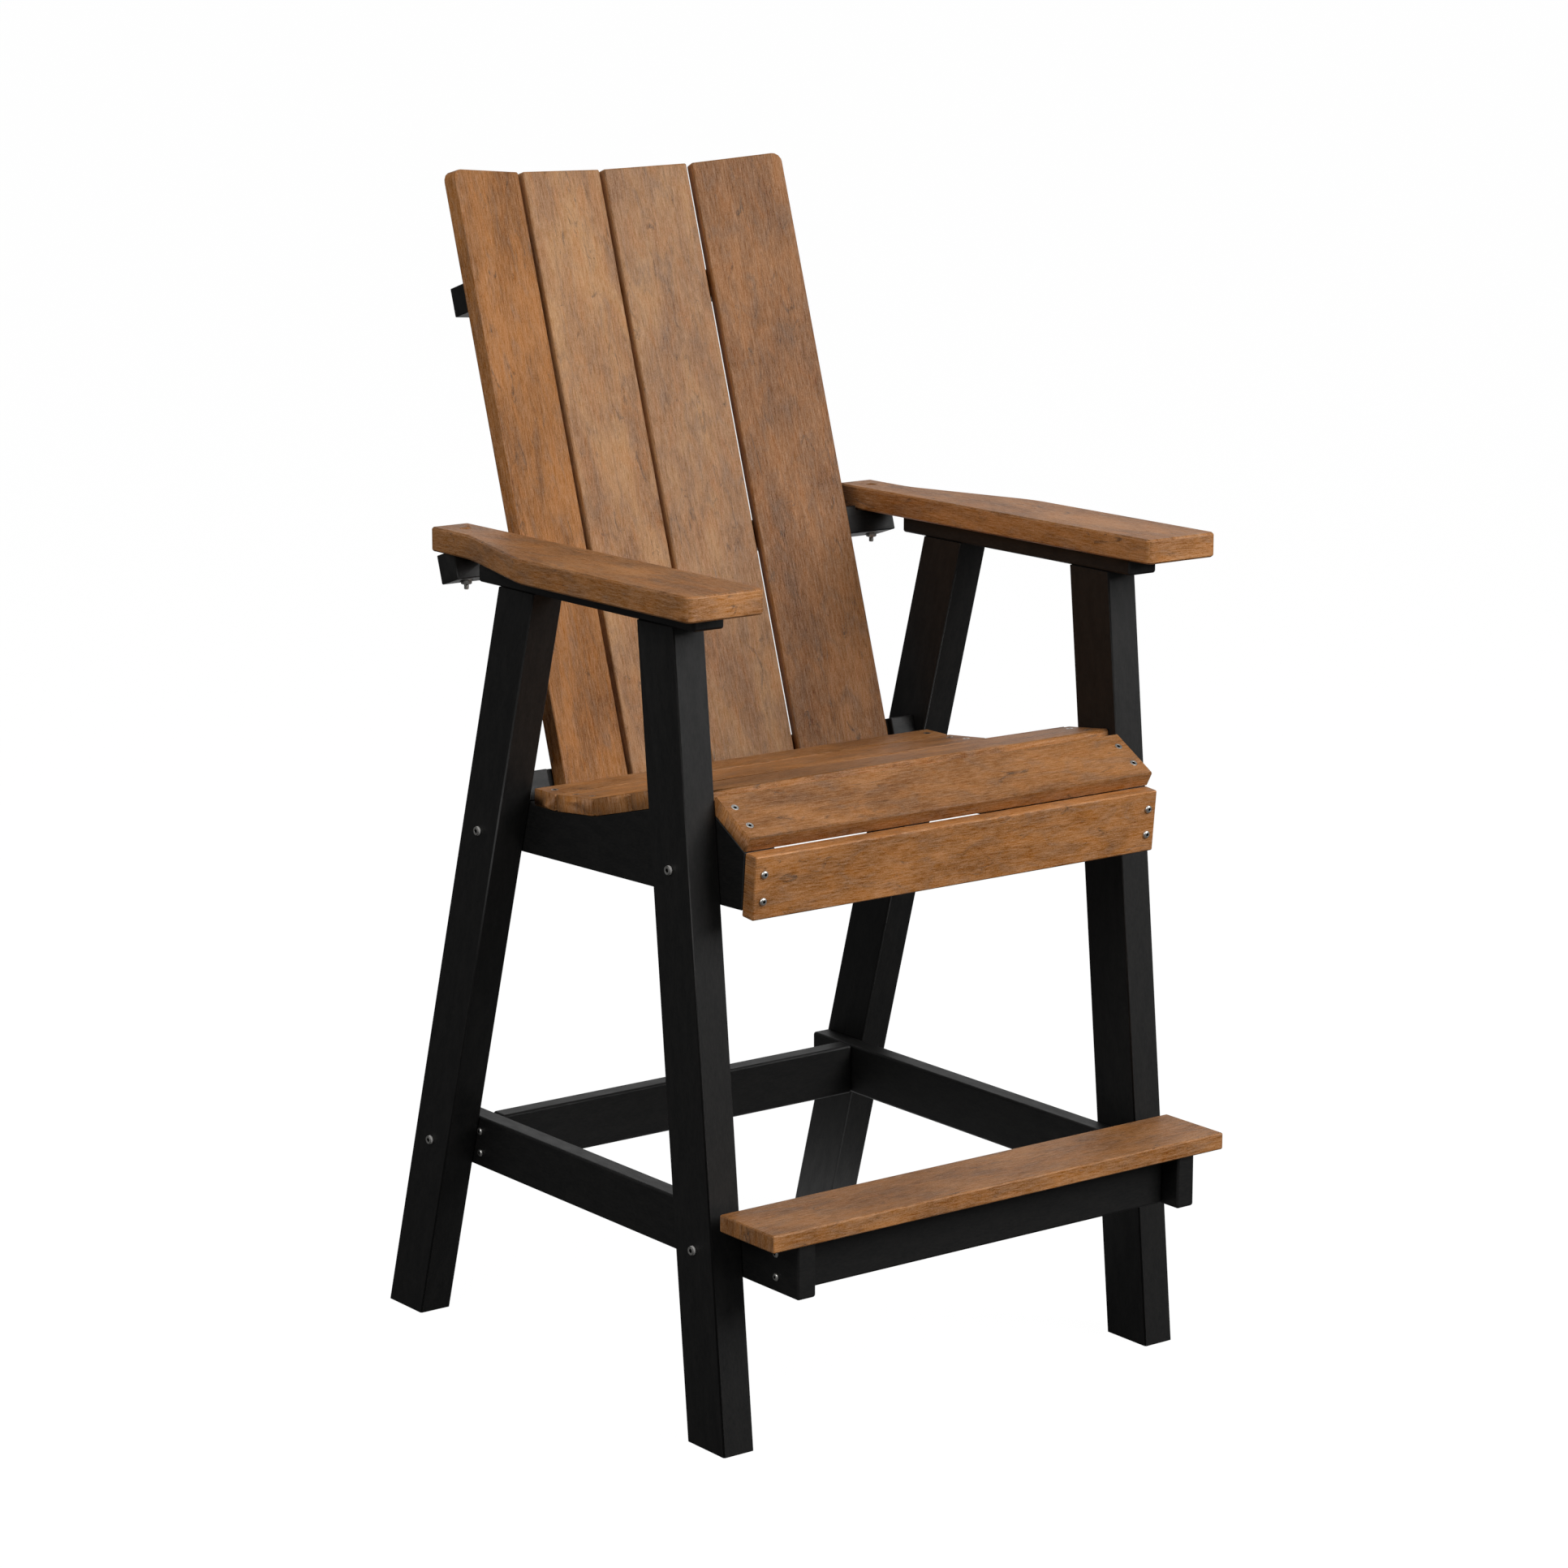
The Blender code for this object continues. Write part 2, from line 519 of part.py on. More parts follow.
def drill(pieces, profile, sides, at, way):
    for name in pieces:
        holes.setdefault(name, []).append((profile, sides, facing(at, way)))


def pan(head_r, head_h, r, length):
    """Proud head: the solid's profile and its hole's, from the face that the head sits on."""
    return ([(0, -head_h), (head_r, -head_h), (head_r, 0), (r, 0), (r, length), (0, length)],
            [(0, -head_h - PAST), (head_r + CLEAR, -head_h - PAST), (head_r + CLEAR, 0), (r + CLEAR, 0),
             (r + CLEAR, length + CLEAR), (0, length + CLEAR)])


def sunk(head_r, head_h, r, length):
    """Countersunk head, flush with the face."""
    return ([(0, 0), (head_r, 0), (r, head_h), (r, length), (0, length)],
            [(0, -PAST), (head_r + CLEAR, -PAST), (head_r + CLEAR, 0), (r + CLEAR, head_h),
             (r + CLEAR, length + CLEAR), (0, length + CLEAR)])


def fasten(name, shapes, at, way, pieces):
    """One fastener at its point and drive direction, with its holes in the pieces that it passes through."""
    solid, hole = shapes
    pin(name, solid, SIDES, at, way)
    drill(pieces, hole, SIDES, at, way)


# Leg bolts, through the legs into the seat rails and the stretchers
SEAT_BOLT_Z = {"front": rail_under(SEAT_NOSE_Y) + SEAT_BOLT_FRONT,
               "rear": rail_under(SEAT_END[0]) + SEAT_BOLT_REAR}
BOLT_HOLDS = {"stretcher": RAIL_T, "seat_rail": SEAT_RAIL_T}
for side, hand in HANDS:
    for end, edge, depth in (("front", front_leg, FRONT_DEPTH), ("rear", rear_leg, REAR_DEPTH)):
        for rail, z in (("stretcher", STRETCHER_MID), ("seat_rail", SEAT_BOLT_Z[end])):
            length = LEG_W + BOLT_HOLDS[rail] + 2 * GAP - BOLT_SHORT
            fasten(f"{rail}_bolt_{end}_{hand}", pan(BOLT_HEAD_R, BOLT_HEAD_H, BOLT_R, length),
                   (side * (FRAME_W / 2 + GAP), edge(z) + depth / 2, z), (-side, 0, 0),
                   (f"leg_{end}_{hand}", f"{rail}_{hand}"))

# Screws through the stretchers into the ends of the two cross bars
BAR_SCREW = pan(SCREW_HEAD_R, SCREW_HEAD_H, SCREW_R, RAIL_T + 2 * GAP + BAR_SCREW_IN)
for side, hand in HANDS:
    for bar, y in (("stretcher_rear", REAR_BAR_Y), ("footrest_rail", FOOT_BAR_Y)):
        for step, level in ((-1, "lower"), (1, "upper")):
            fasten(f"{bar}_screw_{level}_{hand}", BAR_SCREW,
                   (side * LEG_IN, y, STRETCHER_MID + step * BAR_SCREW_SPREAD / 2), (-side, 0, 0),
                   (f"stretcher_{hand}", bar))

# Countersunk screws through the front slat into the seat rails
NOSE_SCREW = sunk(SUNK_HEAD_R, SUNK_HEAD_H, SUNK_R, BOARD_T + GAP + NOSE_SCREW_IN)
for side, hand in HANDS:
    for step, level in ((-1, "lower"), (1, "upper")):
        at = (NOSE_FOOT + along(-NOSE_FALL) * step * NOSE_SCREW_SPREAD / 2
              + above(-NOSE_FALL) * (GAP + BOARD_T))
        fasten(f"nose_screw_{level}_{hand}", NOSE_SCREW, (side * SEAT_SCREW_X, *at), (0, *-above(-NOSE_FALL)),
               ("seat_slat_nose", f"seat_rail_{hand}"))

# Apron screws
APRON_SCREW = pan(SCREW_HEAD_R, SCREW_HEAD_H, SCREW_R, BOARD_T + 2 * GAP + APRON_SCREW_IN)
for side, hand in HANDS:
    for step, level in ((1, "lower"), (-1, "upper")):
        at = APRON_MIDDLE + DOWN_FRONT * step * APRON_SCREW_SPREAD / 2 + APRON_OUT * (BOARD_T / 2 + GAP)
        fasten(f"apron_screw_{level}_{hand}", APRON_SCREW, (side * SEAT_SCREW_X, *at), (0, *-APRON_OUT),
               ("apron", f"seat_rail_{hand}"))

# Arm bolts, sunk in the arms, with a washer and a nut under the mid rail
HEAD_Z = ARM_Z + ARM_T - ARM_SINK                    # underside of the bolt's head
WASHER_Z = ARM_Z - MID_RAIL_UNDER + SPOT_H - GAP
NUT_Z = WASHER_Z - WASHER_H - GAP
BOLT_L = HEAD_Z - NUT_Z + NUT_H + ARM_BOLT_OUT
BORE_R = ARM_BOLT_R + CLEAR
SPOT_AT = HEAD_Z - WASHER_Z - GAP                    # washer's seat, from the bolt's head
NUT_R = NUT_FLATS / 2 / cos(pi / 6)
DOWN = (0, 0, -1)
for side, hand in HANDS:
    x = side * ARM_BOLT_X
    pin("arm_bolt_" + hand, pan(ARM_HEAD_R, ARM_HEAD_H, ARM_BOLT_R, BOLT_L)[0], SIDES,
        (x, ARM_BOLT_Y, HEAD_Z), DOWN)
    pin("arm_washer_" + hand,
        [(BORE_R, 0), (WASHER_R, 0), (WASHER_R, WASHER_H), (BORE_R, WASHER_H), (BORE_R, 0)],
        SIDES, (x, ARM_BOLT_Y, WASHER_Z), DOWN)
    pin("arm_nut_" + hand, [(0, 0), (NUT_R, 0), (NUT_R, NUT_H), (0, NUT_H)], 6, (x, ARM_BOLT_Y, NUT_Z), DOWN)
    end = BOLT_L + PAST
    bores = {"arm_" + hand: [(ARM_SINK_R, -ARM_SINK - PAST), (ARM_SINK_R, GAP), (BORE_R, GAP), (BORE_R, end)],
             "back_rail_mid": [(BORE_R, 0), (BORE_R, SPOT_AT), (SPOT_R, SPOT_AT), (SPOT_R, end)],
             "arm_nut_" + hand: [(BORE_R, 0), (BORE_R, end)]}
    for piece, steps in bores.items():
        drill((piece,), [(0, steps[0][1]), *steps, (0, end)], SIDES, (x, ARM_BOLT_Y, HEAD_Z), DOWN)


# Cuts
def cutter(name, bm):
    mesh = bpy.data.meshes.new(name)
    bm.to_mesh(mesh)
    bm.free()
    made = bpy.data.objects.new(name, mesh)
    cutters.objects.link(made)
    made.parent = origin
    made.hide_render = True
    made.display_type = "WIRE"
    return made


def cut(name, tool):
    boolean = bpy.data.objects[name].modifiers.new("cut", "BOOLEAN")
    boolean.operation = "DIFFERENCE"
    boolean.solver = "EXACT"
    boolean.object = tool


# Level seats for the arms, across the mid rail's tilted ends
bm = bmesh.new()
NOTCH_X = ARM_IN - NOTCH_SIDE
for side, hand in HANDS:
    size = Vector((MID_X - NOTCH_X + PAST, BACK_RAIL_D + 2 * PAST, BACK_RAIL_H))
    middle = Vector((side * (NOTCH_X + size[0] / 2), ARM_BOLT_Y, ARM_Z - GAP + size[2] / 2))
    bmesh.ops.create_cube(bm, size=1.0, matrix=Matrix.Translation(middle) @ Matrix.Diagonal((*size, 1.0)))
cut("back_rail_mid", cutter("cut_arm_seats", bm))

for name, drilled in holes.items():
    bm = bmesh.new()
    for profile, sides, matrix in drilled:
        shape = turned("hole", profile, sides)
        shape.transform(matrix)
        bm.from_mesh(shape)
        bpy.data.meshes.remove(shape)
    cut(name, cutter("cut_" + name, bm))
bpy.context.view_layer.update()
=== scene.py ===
# %% [markdown]
# A bar-height armchair of plastic lumber. Brown boards make the seat, back, arms and footrest, and black
# boards make the frame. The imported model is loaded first, as a fixed frame: every piece below takes its
# place and size from it, so the looks can never drift from the construction.

# %% Load the frame
from math import atan2, cos, pi, radians, sin
import random

import bmesh
import bpy
from mathutils import Matrix, Vector


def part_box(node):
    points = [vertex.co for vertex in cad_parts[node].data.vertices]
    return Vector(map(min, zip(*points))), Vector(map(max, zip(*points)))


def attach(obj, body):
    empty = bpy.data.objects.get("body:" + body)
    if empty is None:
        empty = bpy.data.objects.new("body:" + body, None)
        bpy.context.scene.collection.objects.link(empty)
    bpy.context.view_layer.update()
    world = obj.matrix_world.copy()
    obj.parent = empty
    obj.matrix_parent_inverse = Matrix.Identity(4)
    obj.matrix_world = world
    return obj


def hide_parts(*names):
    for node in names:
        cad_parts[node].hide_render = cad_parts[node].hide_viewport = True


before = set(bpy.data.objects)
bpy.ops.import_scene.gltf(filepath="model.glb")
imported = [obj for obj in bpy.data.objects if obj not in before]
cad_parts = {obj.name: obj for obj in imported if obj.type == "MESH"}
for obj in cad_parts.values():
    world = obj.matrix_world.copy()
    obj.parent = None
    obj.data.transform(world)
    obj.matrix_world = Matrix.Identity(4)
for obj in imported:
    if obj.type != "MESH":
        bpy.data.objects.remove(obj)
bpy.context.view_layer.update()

MM = 0.001

# %% [markdown]
# The camera. A photograph of straight boards tells where it was taken from: parallel edges meet at vanishing
# points, and those give the lens and the two turns. A long lens at a distance keeps the legs nearly parallel.

# %% Camera
CAMERA_AT = (-3.0732, -4.0599, 1.7472)
CAMERA_DOWN = radians(12.0)
CAMERA_TURN = radians(-37.02)
LENS = 102.19           # mm, on a sensor 36 mm wide
scene = bpy.context.scene
camera = bpy.data.objects.new("camera", bpy.data.cameras.new("camera"))
camera.data.lens = LENS
camera.data.sensor_width = 36.0
camera.location = CAMERA_AT
camera.rotation_euler = (pi / 2 - CAMERA_DOWN, 0.0, CAMERA_TURN)
scene.collection.objects.link(camera)
scene.camera = camera
scene.view_settings.view_transform = "Standard"
print("camera", round((Vector(CAMERA_AT) - Vector((0, 0, 0.7))).length, 2), "m from the chair")

# %% [markdown]
# Materials are small graphs of nodes. One function adds a node, sets its properties and feeds its inputs, so
# that each material below reads as a list of what it is made of. Colours are written as they look on a
# screen, in hex, and turned to the linear values that light is worked out with.


# %% Node helper and colour helper
def srgb(code):
    """Linear colour of a hex value such as #A06A40."""
    parts = [int(code[i:i + 2], 16) / 255 for i in (1, 3, 5)]
    return (*(c / 12.92 if c <= 0.04045 else ((c + 0.055) / 1.055) ** 2.4 for c in parts), 1.0)


def add(tree, kind, inputs=None, stops=None, **settings):
    """Adds a node with its settings. An input is a value, or the output that feeds it; stops fill a ramp."""
    made = tree.nodes.new("ShaderNode" + kind)
    for name, value in settings.items():
        setattr(made, name, value)
    for name, value in (inputs or {}).items():
        if isinstance(value, bpy.types.NodeSocket):
            tree.links.new(value, made.inputs[name])
        else:
            made.inputs[name].default_value = value
    for i, (place, colour) in enumerate(stops or ()):
        ramp = made.color_ramp.elements
        stop = ramp[i] if i < 2 else ramp.new(place)
        stop.position = place
        stop.color = srgb(colour)
    return made


def new_tree(name):
    """A bare material and its node tree."""
    material = bpy.data.materials.new(name)
    material.use_nodes = True
    material.node_tree.nodes.clear()
    return material, material.node_tree


# %% [markdown]
# Studio. The photograph has a clear white ground with hardly a shadow, and yet the boards' dark sides are
# deep, so little light comes up from below. The floor is therefore white to the eye and dim to the chair,
# except far behind the chair, where the undersides of the back rails mirror it. The white backdrop stands
# there too, and the tops of the black boards mirror that. A large soft lamp stands at the front right, a
# weaker one at the front left, and the surround adds a little.

# %% Floor, surround and lamps
FLOOR_HALF = 60.0
FLOOR_SEEN = 0.985              # the floor's glow to the camera
FLOOR_FELT = 0.06               # to the chair
FLOOR_FAR = 0.9                 # and to the chair from far behind
FAR_WAY = (0.6, 0.8, 0.0)       # behind the chair as the camera looks
FAR_FROM, FAR_FULL = 0.90, 0.97     # how nearly that way the far part lies
FLOOR_SHADE = "#3A3A3A"         # the part of the floor that takes shadow
SURROUND = 0.16                 # the surround's light on the chair
BACKDROP = 0.9                  # and the backdrop's
BACKDROP_WAY = (0.59, 0.78, 0.21)
BACKDROP_FROM, BACKDROP_FULL = 0.78, 0.94
LAMP_AIM = Vector((0.0, 0.0, 0.7))
LAMPS = {"key_lamp": ((1.6, -3.2, 2.8), 2.6, 172.0), "fill_lamp": ((-3.4, -1.6, 3.0), 2.2, 76.0),
         "top_lamp": ((0.2, -0.4, 3.8), 2.4, 20.0)}

floor_look, tree = new_tree("studio_floor")
path = add(tree, "LightPath")
place = add(tree, "TexCoord").outputs["Object"]
point = add(tree, "VectorMath", {0: place}, operation="NORMALIZE").outputs[0]
way = add(tree, "VectorMath", {0: point, 1: FAR_WAY}, operation="DOT_PRODUCT")
felt = add(tree, "MapRange", {0: way.outputs["Value"], 1: FAR_FROM, 2: FAR_FULL,
                              3: FLOOR_FELT, 4: FLOOR_FAR})
strength = add(tree, "MapRange", {0: path.outputs["Is Camera Ray"], 3: felt.outputs[0], 4: FLOOR_SEEN})
glow = add(tree, "Emission", {"Color": srgb("#FFFFFF"), "Strength": strength.outputs[0]})
matte = add(tree, "BsdfDiffuse", {"Color": srgb(FLOOR_SHADE)})
both = add(tree, "AddShader", {0: glow.outputs[0], 1: matte.outputs[0]})
add(tree, "OutputMaterial", {"Surface": both.outputs[0]})

bm = bmesh.new()
bmesh.ops.create_grid(bm, x_segments=1, y_segments=1, size=FLOOR_HALF)
mesh = bpy.data.meshes.new("studio_floor")
bm.to_mesh(mesh)
bm.free()
mesh.materials.append(floor_look)
floor = bpy.data.objects.new("studio_floor", mesh)
scene.collection.objects.link(floor)

world = bpy.data.worlds.new("studio")
scene.world = world
world.use_nodes = True
world.node_tree.nodes.clear()
tree = world.node_tree
path = add(tree, "LightPath")
place = add(tree, "TexCoord").outputs["Object"]
way = add(tree, "VectorMath", {0: place, 1: BACKDROP_WAY}, operation="DOT_PRODUCT")
felt = add(tree, "MapRange", {0: way.outputs["Value"], 1: BACKDROP_FROM, 2: BACKDROP_FULL,
                              3: SURROUND, 4: BACKDROP})
strength = add(tree, "MapRange", {0: path.outputs["Is Camera Ray"], 3: felt.outputs[0], 4: 1.0})
white = add(tree, "Background", {"Color": srgb("#FFFFFF"), "Strength": strength.outputs[0]})
add(tree, "OutputWorld", {"Surface": white.outputs[0]})

for name, (place, size, power) in LAMPS.items():
    lamp = bpy.data.objects.new(name, bpy.data.lights.new(name, "AREA"))
    lamp.data.size = size
    lamp.data.energy = power
    lamp.location = place
    lamp.rotation_euler = (LAMP_AIM - Vector(place)).to_track_quat("-Z", "Y").to_euler()
    scene.collection.objects.link(lamp)
print(len(LAMPS), "lamps")

# %% [markdown]
# Brown plastic lumber. It is high-density polyethylene, coloured right through and extruded with streaks of
# darker and redder pigment, then brushed so that it looks like oiled wood. The eye sees slow changes of tone
# along the board, smoky smudges, and fine fibres. Each board carries an attribute called grain: its own
# length and width in metres, and a tint, so that the pattern follows the board however it leans. Another one
# darkens the broad faces of some boards, partly as a batch's tone and partly as painted shade, while their
# narrow faces keep the full colour.

# %% Brown plastic lumber
GRAIN = "grain"
# the attribute that darkens broad faces: partly batch tone, partly painted shade
TONE_AND_PAINTED_SHADE = "tone_and_painted_shade"
STREAK = (1.0, 0.7, 0.5)        # a fine streak's step in red, green and blue


def brown_lumber():
    material, tree = new_tree("brown_plastic_lumber")
    grain = add(tree, "Attribute", attribute_name=GRAIN).outputs["Vector"]
    tint = add(tree, "SeparateXYZ", {0: grain}).outputs["Z"]
    patterns = {}
    # Along and across the grain, in millimetres
    for name, along, across, detail, roughness, bend in (("tone", 150, 50, 3, 0.55, 0.3),
                                                         ("patch", 46, 16, 5, 0.65, 0.6),
                                                         ("smudge", 50, 14, 6, 0.75, 0.9),
                                                         ("thread", 42, 2.6, 4, 0.6, 0.3),
                                                         ("fibre", 12, 1.2, 5, 0.8, 0.2),
                                                         ("grit", 2.0, 1.2, 3, 0.7, 0.0)):
        place = add(tree, "Mapping", {"Vector": grain, "Scale": (1000 / along, 1000 / across, 1.0)})
        noise = add(tree, "TexNoise", {"Vector": place.outputs[0], "Scale": 1.0, "Detail": detail,
                                       "Roughness": roughness, "Distortion": bend}, noise_dimensions="2D")
        patterns[name] = noise.outputs["Fac"]
    golden = add(tree, "ValToRGB", {0: patterns["tone"]},
                 [(0.30, "#835730"), (0.70, "#A97343"), (0.50, "#966539")])
    ruddy = add(tree, "ValToRGB", {0: patterns["tone"]},
                [(0.30, "#906642"), (0.70, "#B4875A"), (0.50, "#A2764E")])
    base = add(tree, "Mix", {0: tint, 6: golden.outputs[0], 7: ruddy.outputs[0]}, data_type="RGBA")
    ember = add(tree, "MapRange", {0: patterns["patch"], 1: 0.50, 2: 0.30, 3: 0.0, 4: 0.4})
    warm = add(tree, "Mix", {0: ember.outputs[0], 6: base.outputs[2], 7: srgb("#B0723A")}, data_type="RGBA")
    dusk = add(tree, "MapRange", {0: patterns["patch"], 1: 0.52, 2: 0.74, 3: 0.0, 4: 0.5})
    dusky = add(tree, "Mix", {0: dusk.outputs[0], 6: warm.outputs[2], 7: srgb("#7A604D")}, data_type="RGBA")
    smoke = add(tree, "MapRange", {0: patterns["smudge"], 1: 0.60, 2: 0.71})
    broken = add(tree, "MapRange", {0: patterns["thread"], 1: 0.34, 2: 0.60, 3: 0.30, 4: 0.90})
    amount = add(tree, "Math", {0: smoke.outputs[0], 1: broken.outputs[0]}, operation="MULTIPLY")
    smoked = add(tree, "Mix", {0: amount.outputs[0], 6: dusky.outputs[2], 7: srgb("#4B3A2D")},
                 data_type="RGBA")
    # The fine streaks are as light as they are dark, and take nearly as much from the blue as from the red
    streaks = 0.0
    for name, share in (("thread", 0.25), ("fibre", 0.50), ("grit", 0.27)):
        middle = add(tree, "Math", {0: patterns[name], 1: 0.5}, operation="SUBTRACT").outputs[0]
        streaks = add(tree, "Math", {0: middle, 1: share, 2: streaks}, operation="MULTIPLY_ADD").outputs[0]
    streaked = add(tree, "VectorMath", {0: streaks, 1: STREAK, 2: smoked.outputs[2]},
                   operation="MULTIPLY_ADD")
    # Painted shade, with some batch tone: this attribute darkens the broad faces of some boards
    tone_and_painted_shade = add(tree, "Attribute", attribute_name=TONE_AND_PAINTED_SHADE).outputs["Fac"]
    colour = add(tree, "VectorMath", {0: streaked.outputs[0], 1: tone_and_painted_shade}, operation="MULTIPLY")
    gloss = add(tree, "MapRange", {0: patterns["fibre"], 1: 0.3, 2: 0.7, 3: 0.62, 4: 0.46})
    relief = add(tree, "Math", {0: patterns["fibre"], 1: patterns["thread"]}, operation="ADD")
    bump = add(tree, "Bump", {"Strength": 0.5, "Distance": 0.3 * MM, "Height": relief.outputs[0]})
    shader = add(tree, "BsdfPrincipled", {"Base Color": colour.outputs[0], "Roughness": gloss.outputs[0],
                                          "IOR": 1.5, "Specular IOR Level": 0.3,
                                          "Normal": bump.outputs[0]})
    add(tree, "OutputMaterial", {"Surface": shader.outputs[0]})
    return material


BROWN = brown_lumber()
print("material", BROWN.name, len(BROWN.node_tree.nodes), "nodes")

# %% [markdown]
# Black plastic lumber: the same polyethylene with carbon black in it. It is nearly even in colour, with a
# faint mottle and a satin skin from the extruder, which catches the white surround along edges and at low
# angles.


# %% Black plastic lumber
def black_lumber():
    material, tree = new_tree("black_plastic_lumber")
    grain = add(tree, "Attribute", attribute_name=GRAIN).outputs["Vector"]
    patterns = {}
    # Along and across the grain, in millimetres
    for name, along, across, detail in (("mottle", 38, 12, 4), ("brush", 7, 2.0, 3)):
        place = add(tree, "Mapping", {"Vector": grain, "Scale": (1000 / along, 1000 / across, 1.0)})
        noise = add(tree, "TexNoise", {"Vector": place.outputs[0], "Scale": 1.0, "Detail": detail,
                                       "Roughness": 0.65}, noise_dimensions="2D")
        patterns[name] = noise.outputs["Fac"]
    relief = add(tree, "Math", {0: patterns["brush"], 1: patterns["mottle"]}, operation="ADD")
    colour = add(tree, "ValToRGB", {0: add(tree, "MapRange", {0: relief.outputs[0], 2: 2.0}).outputs[0]},
                 [(0.38, "#050505"), (0.64, "#161514")])
    gloss = add(tree, "MapRange", {0: patterns["mottle"], 3: 0.62, 4: 0.46})
    bump = add(tree, "Bump", {"Strength": 0.35, "Distance": 0.15 * MM, "Height": relief.outputs[0]})
    shader = add(tree, "BsdfPrincipled", {"Base Color": colour.outputs[0], "Roughness": gloss.outputs[0],
                                          "IOR": 1.5, "Specular IOR Level": 0.34,
                                          "Normal": bump.outputs[0]})
    add(tree, "OutputMaterial", {"Surface": shader.outputs[0]})
    return material


BLACK = black_lumber()
print("material", BLACK.name, len(BLACK.node_tree.nodes), "nodes")

# %% [markdown]
# Stainless steel fasteners, cold headed and tumbled: a pale metal with a soft, slightly uneven shine. The
# sockets take a dark steel, painted shade in the recesses. The pattern is drawn coarser than real tumbling
# marks, or it would not show. A face turned to the dim floor is grey, and an edge turned to a lamp glints. The
# knurled side of a bolt's head takes a pale, rougher steel, a painted highlight paler than the head's face.


# %% Stainless steel
def stainless(name, dull, bright, metallic, polished, worn):
    material, tree = new_tree(name)
    place = add(tree, "TexCoord").outputs["Object"]
    marks = add(tree, "TexNoise", {"Vector": place, "Scale": 1000 / 1.5, "Detail": 2.0})
    colour = add(tree, "ValToRGB", {0: marks.outputs["Fac"]}, [(0.3, dull), (0.7, bright)])
    gloss = add(tree, "MapRange", {0: marks.outputs["Fac"], 3: polished, 4: worn})
    shader = add(tree, "BsdfPrincipled", {"Base Color": colour.outputs[0], "Roughness": gloss.outputs[0],
                                          "Metallic": metallic})
    add(tree, "OutputMaterial", {"Surface": shader.outputs[0]})
    return material


STEEL = stainless("tumbled_stainless_steel", "#B8B7B3", "#DAD8D4", 1.0, 0.30, 0.44)
# Painted shade for the insides of the sockets
SOCKET_PAINTED_SHADE = stainless("socket_steel_painted_shade", "#2A2A29", "#3E3D3B", 1.0, 0.30, 0.44)
# Painted highlight: a pale, nearly non-metal steel for the knurled sides of the bolts' heads
KNURL_PAINTED_HIGHLIGHT = stainless("knurled_steel_painted_highlight", "#E2E0DC", "#F6F4F0", 0.2, 0.40, 0.55)
for made in (STEEL, SOCKET_PAINTED_SHADE, KNURL_PAINTED_HIGHLIGHT):
    print("material", made.name, len(made.node_tree.nodes), "nodes")

# %% [markdown]
# Boards. Each board of the frame is a solid with its edges cut at 45 degrees. On the real chair the router
# leaves a round edge instead, and the round is what catches the light. So a copy of the board has its loose
# triangles merged, its flats cleaned, and then the two edges of every 45 degree cut are bevelled: two small
# arcs that meet in the middle of the cut make one round edge.


# %% Board helpers
def merged(node):
    """A copy of a node's mesh, with its triangles joined and its flats made whole."""
    bm = bmesh.new()
    bm.from_mesh(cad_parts[node].data)
    bmesh.ops.remove_doubles(bm, verts=bm.verts, dist=0.01 * MM)
    bmesh.ops.dissolve_limit(bm, angle_limit=radians(0.5), verts=bm.verts, edges=bm.edges)
    return bm


def axes_of(bm):
    """A board's own axes: along its longest edge, across, and through its broad face."""
    edges = [e for e in bm.edges if e.calc_face_angle(0.0) > radians(20)]
    longest = max(edges, key=lambda e: e.calc_length())
    along = (longest.verts[1].co - longest.verts[0].co).normalized()
    if along[max(range(3), key=lambda i: abs(along[i]))] < 0:
        along.negate()
    broad = max(bm.faces, key=lambda f: f.calc_area()).normal.copy()
    return along, broad.cross(along).normalized(), broad


ROUND = 1.5 * MM            # each of the two arcs of a round edge, measured along the face
ROUND_STEPS = 2
CUT_ANGLE = (radians(31.5), radians(62))        # the edges of a 45 degree cut; bores are finer or squarer


def soften(bm):
    """Rounds the board's cut edges."""
    low, high = CUT_ANGLE
    edges = [e for e in bm.edges if low < e.calc_face_angle(0.0) < high]
    bmesh.ops.bevel(bm, geom=edges, offset=ROUND, offset_type="OFFSET", segments=ROUND_STEPS, profile=0.5,
                    affect="EDGES", material=-1, clamp_overlap=True)


ROUND_TO_BROAD = 0.6        # a round edge takes its grain from the broad face, up to this slope


def lay_grain(mesh, axes, end_way, tint, tone_and_painted_shade):
    """Writes each corner's place on its face, its tint, and the broad faces' batch tone and painted shade."""
    tones_and_painted_shades = mesh.attributes.new(TONE_AND_PAINTED_SHADE, "FLOAT", "CORNER")
    shift = [random.uniform(0.0, 50.0) for _ in range(6)]
    grain = mesh.attributes.new(GRAIN, "FLOAT_VECTOR", "CORNER")
    for face in mesh.polygons:
        looks = [abs(face.normal.dot(axis)) for axis in axes]
        kind = 2 if looks[2] > ROUND_TO_BROAD else looks.index(max(looks))
        first, second = {0: end_way, 1: (0, 2), 2: (0, 1)}[kind]
        for corner in face.loop_indices:
            point = mesh.vertices[mesh.loops[corner].vertex_index].co
            grain.data[corner].vector = (point.dot(axes[first]) + shift[kind],
                                         point.dot(axes[second]) + shift[kind + 3], tint)
            # Only the broad faces take the tone and painted shade; the narrow faces stay at full colour
            tones_and_painted_shades.data[corner].value = tone_and_painted_shade if kind == 2 else 1.0


